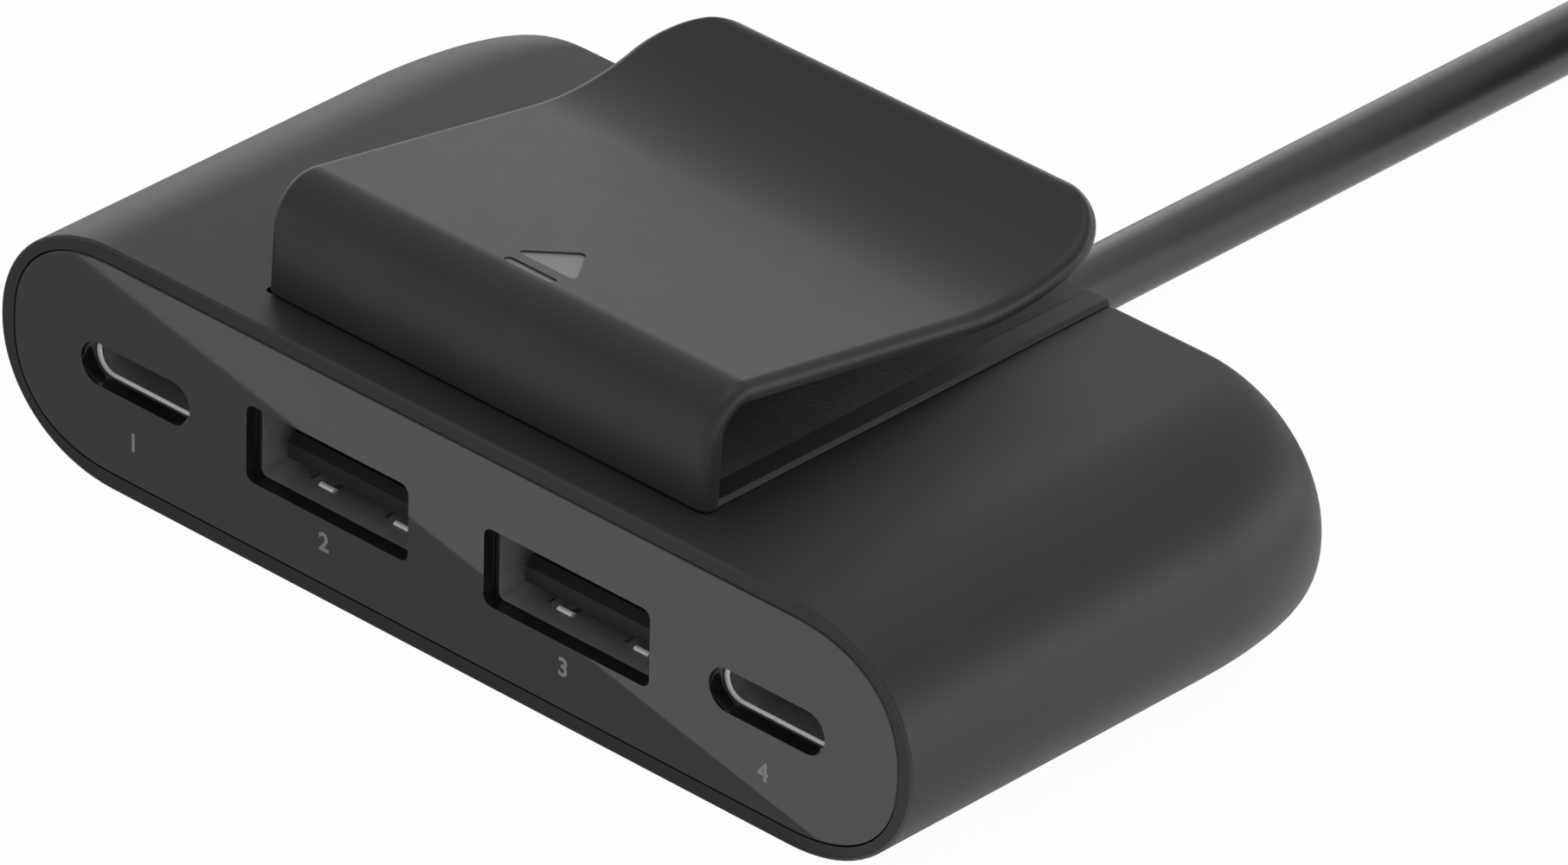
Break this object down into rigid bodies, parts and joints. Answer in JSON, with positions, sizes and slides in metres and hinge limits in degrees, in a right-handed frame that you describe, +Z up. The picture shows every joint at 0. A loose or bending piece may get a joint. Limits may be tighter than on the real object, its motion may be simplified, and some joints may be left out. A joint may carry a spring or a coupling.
{
  "type": "usb power strip",
  "caption": "Flat USB hub for charging on a black lead, with outer oval ports, inner flat ports and a slide-on spring clip on its top.",
  "frame": {"origin": "middle of the flat base, half way between the ports and the tip of the clip", "axes": "+X to the right of somebody who faces the ports, +Y from the ports to the lead, +Z up towards the clip"},
  "size_m": [0.0966, 0.1596, 0.0237],
  "materials": {
    "housing": "fine textured",
    "faceplate": "polished",
    "clip": "fine textured",
    "pad": "fine textured",
    "board": "solder mask",
    "ferrite": "rough",
    "can": "satin",
    "chip": "matte",
    "chip_part": "matte",
    "wire": "satin",
    "lead": "satin",
    "tie": "satin",
    "shell": "satin",
    "insulator": "satin",
    "contact": "satin"
  },
  "bodies": {
    "hub": {"housing": "housing", "faceplate": "faceplate", "circuit_board": "board", "usb_a_shell_left": "shell", "usb_a_shell_right": "shell", "usb_a_tongue_left": "insulator", "usb_a_tongue_right": "insulator", "usb_a_contacts_left": "contact", "usb_a_contacts_right": "contact", "usb_c_shell_left": "shell", "usb_c_shell_right": "shell", "usb_c_tongue_left": "insulator", "usb_c_tongue_right": "insulator", "usb_c_contacts_left": "contact", "usb_c_contacts_right": "contact", "power_inductors": "ferrite", "filter_capacitors": "can", "port_controllers": "chip", "chip_components": "chip_part", "lead_wires": "wire", "strain_relief": "lead", "cord": "lead", "cord_coil": "lead", "cord_tail": "lead", "cord_tie": "tie", "plug_body": "lead", "plug_shell": "shell", "plug_tongue": "insulator", "plug_contacts": "contact"},
    "clip": {"clip": "clip", "grip_pad": "pad"}
  },
  "joints": [
    {"name": "clip_slide", "type": "slide", "parent": "hub", "child": "clip", "axis": [0, 1, 0], "range_m": [0, 0.034]}
  ]
}
